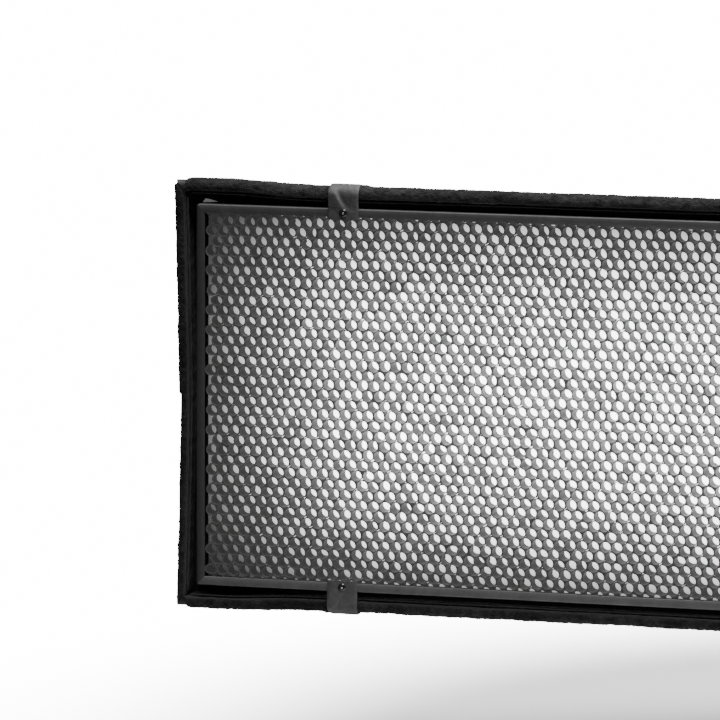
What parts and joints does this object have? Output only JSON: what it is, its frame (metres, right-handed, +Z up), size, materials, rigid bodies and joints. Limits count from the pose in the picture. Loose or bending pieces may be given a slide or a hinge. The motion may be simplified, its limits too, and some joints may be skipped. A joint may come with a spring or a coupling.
{
  "type": "strip softbox",
  "caption": "Long narrow collapsible fabric softbox with a speed ring, a white front screen and a framed honeycomb grid held in its front lip by fold-over tabs.",
  "frame": {"origin": "centre of the rear face of the mount insert, where the flash head grips it", "axes": "front (light output) faces -Y, +Y points back to the flash head, +X runs along the long side to the right seen from the front, +Z up"},
  "size_m": [1.4, 0.4833, 0.354],
  "materials": {
    "black_fabric": "matt black coated nylon",
    "loop_pile": "black loop pile of hook-and-loop tape",
    "white_fabric": "white translucent nylon",
    "grey_strap": "dark grey woven strap, slightly shiny",
    "frame_paint": "satin charcoal powder coat",
    "core_plastic": "semi-gloss black",
    "rivet_metal": "gloss black",
    "ring_metal": "black anodised, cast",
    "insert_metal": "machined and bead-blasted",
    "pole_metal": "drawn spring steel",
    "rubber": "matt black",
    "knob_plastic": "fine-textured black"
  },
  "bodies": {
    "mount": {"mount_insert": "insert_metal", "retaining_ring": "ring_metal", "retainer_screw_1": "pole_metal", "retainer_screw_2": "pole_metal", "retainer_screw_3": "pole_metal"},
    "shell": {"speed_ring": "ring_metal", "rear_collar": "black_fabric", "pole_top_right": "pole_metal", "pole_bottom_right": "pole_metal", "pole_bottom_left": "pole_metal", "pole_top_left": "pole_metal", "pole_tip_top_right": "rubber", "pole_tip_bottom_right": "rubber", "pole_tip_bottom_left": "rubber", "pole_tip_top_left": "rubber", "panel_top": "black_fabric", "panel_right": "black_fabric", "panel_bottom": "black_fabric", "panel_left": "black_fabric", "front_screen": "white_fabric", "screen_pull_tab": "white_fabric", "inner_baffle": "white_fabric", "baffle_cord_top_right": "rubber", "baffle_cord_bottom_right": "rubber", "baffle_cord_bottom_left": "rubber", "baffle_cord_top_left": "rubber", "lip_top": "black_fabric", "lip_right": "black_fabric", "lip_bottom": "black_fabric", "lip_left": "black_fabric", "loop_strip_top": "loop_pile", "loop_strip_right": "loop_pile", "loop_strip_bottom": "loop_pile", "loop_strip_left": "loop_pile"},
    "knob_top": {"lock_knob_top": "knob_plastic"},
    "knob_bottom": {"lock_knob_bottom": "knob_plastic"},
    "grid": {"honeycomb_core": "core_plastic", "grid_rail_top": "frame_paint", "grid_rail_right": "frame_paint", "grid_rail_bottom": "frame_paint", "grid_rail_left": "frame_paint", "tab_foot_top_1": "grey_strap", "tab_foot_top_2": "grey_strap", "tab_foot_top_3": "grey_strap", "tab_foot_bottom_1": "grey_strap", "tab_foot_bottom_2": "grey_strap", "tab_foot_bottom_3": "grey_strap", "rivet_top_1": "rivet_metal", "rivet_top_2": "rivet_metal", "rivet_top_3": "rivet_metal", "rivet_bottom_1": "rivet_metal", "rivet_bottom_2": "rivet_metal", "rivet_bottom_3": "rivet_metal"},
    "flap_top_1": {"tab_flap_top_1": "grey_strap"},
    "flap_top_2": {"tab_flap_top_2": "grey_strap"},
    "flap_top_3": {"tab_flap_top_3": "grey_strap"},
    "flap_bottom_1": {"tab_flap_bottom_1": "grey_strap"},
    "flap_bottom_2": {"tab_flap_bottom_2": "grey_strap"},
    "flap_bottom_3": {"tab_flap_bottom_3": "grey_strap"}
  },
  "joints": [
    {"name": "swivel", "type": "hinge", "parent": "mount", "child": "shell", "pos_m": [0, -0.012, 0], "axis": [0, 1, 0], "continuous": true},
    {"name": "knob_top_turn", "type": "hinge", "parent": "shell", "child": "knob_top", "pos_m": [0, -0.0108, 0.1], "axis": [0, 0, 1], "range_deg": [0, 720]},
    {"name": "knob_bottom_turn", "type": "hinge", "parent": "shell", "child": "knob_bottom", "pos_m": [0, -0.0108, -0.1], "axis": [0, 0, -1], "range_deg": [0, 720]},
    {"name": "grid_slide", "type": "slide", "parent": "shell", "child": "grid", "axis": [0, -1, 0], "range_m": [0, 0.12]},
    {"name": "flap_top_1_fold", "type": "hinge", "parent": "grid", "child": "flap_top_1", "pos_m": [-0.5575, -0.4811, 0.1605], "axis": [1, 0, 0], "range_deg": [0, 110]},
    {"name": "flap_top_2_fold", "type": "hinge", "parent": "grid", "child": "flap_top_2", "pos_m": [0, -0.4811, 0.1605], "axis": [1, 0, 0], "range_deg": [0, 110]},
    {"name": "flap_top_3_fold", "type": "hinge", "parent": "grid", "child": "flap_top_3", "pos_m": [0.5575, -0.4811, 0.1605], "axis": [1, 0, 0], "range_deg": [0, 110]},
    {"name": "flap_bottom_1_fold", "type": "hinge", "parent": "grid", "child": "flap_bottom_1", "pos_m": [0.5575, -0.4811, -0.1605], "axis": [-1, 0, 0], "range_deg": [0, 110]},
    {"name": "flap_bottom_2_fold", "type": "hinge", "parent": "grid", "child": "flap_bottom_2", "pos_m": [0, -0.4811, -0.1605], "axis": [-1, 0, 0], "range_deg": [0, 110]},
    {"name": "flap_bottom_3_fold", "type": "hinge", "parent": "grid", "child": "flap_bottom_3", "pos_m": [-0.5575, -0.4811, -0.1605], "axis": [-1, 0, 0], "range_deg": [0, 110]}
  ]
}
